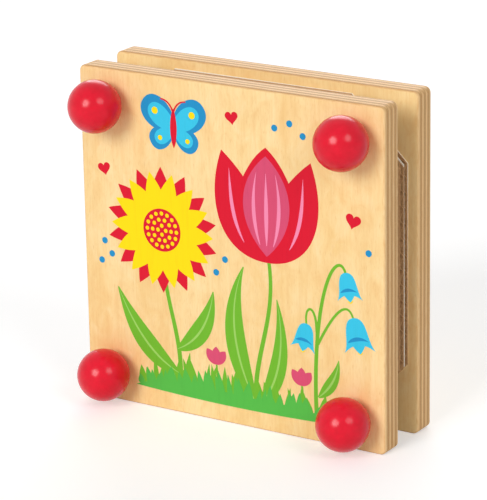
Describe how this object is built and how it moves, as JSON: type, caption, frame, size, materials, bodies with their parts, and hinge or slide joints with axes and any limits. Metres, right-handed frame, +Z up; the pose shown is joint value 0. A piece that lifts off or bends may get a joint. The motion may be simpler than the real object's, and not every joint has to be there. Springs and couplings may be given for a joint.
{
  "type": "flower press",
  "caption": "Square wooden flower press: ball knobs on screws draw a printed front board towards the back board, with cardboard and paper sheets between them.",
  "frame": {"origin": "bottom centre of the whole press as it stands on the lower edges of its boards", "axes": "+Z up, +Y towards the back board's flat back, -Y out of the printed front board, +X to the right seen from the front"},
  "size_m": [0.165, 0.0664, 0.165],
  "materials": {
    "birch_plywood": "clear satin lacquer over pale birch plywood",
    "red_lacquer": "gloss red lacquer on turned wood",
    "zinc_steel": "bright zinc plate",
    "brass": "turned",
    "corrugated_cardboard": "uncoated brown kraft",
    "craft_paper": "uncoated, soft white",
    "printed_ink": "satin printed ink on the front board, several colours"
  },
  "bodies": {
    "base": {"back_board": "birch_plywood", "bolt_1": "zinc_steel", "bolt_2": "zinc_steel", "bolt_3": "zinc_steel", "bolt_4": "zinc_steel"},
    "front": {"front_board": "birch_plywood"},
    "screw_knob_1": {"knob_1": "red_lacquer", "knob_insert_1": "brass"},
    "screw_knob_2": {"knob_2": "red_lacquer", "knob_insert_2": "brass"},
    "screw_knob_3": {"knob_3": "red_lacquer", "knob_insert_3": "brass"},
    "screw_knob_4": {"knob_4": "red_lacquer", "knob_insert_4": "brass"},
    "sheet_1": {"paper_1": "craft_paper"},
    "sheet_2": {"cardboard_1": "corrugated_cardboard"},
    "sheet_3": {"paper_2": "craft_paper"},
    "sheet_4": {"cardboard_2": "corrugated_cardboard"},
    "sheet_5": {"paper_3": "craft_paper"},
    "sheet_6": {"cardboard_3": "corrugated_cardboard"},
    "sheet_7": {"paper_4": "craft_paper"},
    "sheet_8": {"cardboard_4": "corrugated_cardboard"},
    "sheet_9": {"paper_5": "craft_paper"}
  },
  "joints": [
    {"name": "front_slide", "type": "slide", "parent": "base", "child": "front", "axis": [0, -1, 0], "range_m": [0, 0.01]},
    {"name": "knob_1_turn", "type": "hinge", "parent": "front", "child": "screw_knob_1", "pos_m": [-0.0665, -0.0093, 0.016], "axis": [0, -1, 0], "range_deg": [0, 3600]},
    {"name": "knob_2_turn", "type": "hinge", "parent": "front", "child": "screw_knob_2", "pos_m": [0.0665, -0.0093, 0.016], "axis": [0, -1, 0], "range_deg": [0, 3600]},
    {"name": "knob_3_turn", "type": "hinge", "parent": "front", "child": "screw_knob_3", "pos_m": [0.0665, -0.0093, 0.149], "axis": [0, -1, 0], "range_deg": [0, 3600]},
    {"name": "knob_4_turn", "type": "hinge", "parent": "front", "child": "screw_knob_4", "pos_m": [-0.0665, -0.0093, 0.149], "axis": [0, -1, 0], "range_deg": [0, 3600]},
    {"name": "sheet_1_slide", "type": "slide", "parent": "base", "child": "sheet_1", "axis": [0, -1, 0], "range_m": [0, 0.001]},
    {"name": "sheet_2_slide", "type": "slide", "parent": "base", "child": "sheet_2", "axis": [0, -1, 0], "range_m": [0, 0.002]},
    {"name": "sheet_3_slide", "type": "slide", "parent": "base", "child": "sheet_3", "axis": [0, -1, 0], "range_m": [0, 0.003]},
    {"name": "sheet_4_slide", "type": "slide", "parent": "base", "child": "sheet_4", "axis": [0, -1, 0], "range_m": [0, 0.004]},
    {"name": "sheet_5_slide", "type": "slide", "parent": "base", "child": "sheet_5", "axis": [0, -1, 0], "range_m": [0, 0.005]},
    {"name": "sheet_6_slide", "type": "slide", "parent": "base", "child": "sheet_6", "axis": [0, -1, 0], "range_m": [0, 0.006]},
    {"name": "sheet_7_slide", "type": "slide", "parent": "base", "child": "sheet_7", "axis": [0, -1, 0], "range_m": [0, 0.007]},
    {"name": "sheet_8_slide", "type": "slide", "parent": "base", "child": "sheet_8", "axis": [0, -1, 0], "range_m": [0, 0.008]},
    {"name": "sheet_9_slide", "type": "slide", "parent": "base", "child": "sheet_9", "axis": [0, -1, 0], "range_m": [0, 0.009]}
  ],
  "couplings": [
    {"joint": "knob_1_turn", "follows": "front_slide", "rad_per_m": 6283.2},
    {"joint": "knob_2_turn", "follows": "front_slide", "rad_per_m": 6283.2},
    {"joint": "knob_3_turn", "follows": "front_slide", "rad_per_m": 6283.2},
    {"joint": "knob_4_turn", "follows": "front_slide", "rad_per_m": 6283.2},
    {"joint": "sheet_1_slide", "follows": "front_slide", "ratio": 0.1},
    {"joint": "sheet_2_slide", "follows": "front_slide", "ratio": 0.2},
    {"joint": "sheet_3_slide", "follows": "front_slide", "ratio": 0.3},
    {"joint": "sheet_4_slide", "follows": "front_slide", "ratio": 0.4},
    {"joint": "sheet_5_slide", "follows": "front_slide", "ratio": 0.5},
    {"joint": "sheet_6_slide", "follows": "front_slide", "ratio": 0.6},
    {"joint": "sheet_7_slide", "follows": "front_slide", "ratio": 0.7},
    {"joint": "sheet_8_slide", "follows": "front_slide", "ratio": 0.8},
    {"joint": "sheet_9_slide", "follows": "front_slide", "ratio": 0.9}
  ]
}
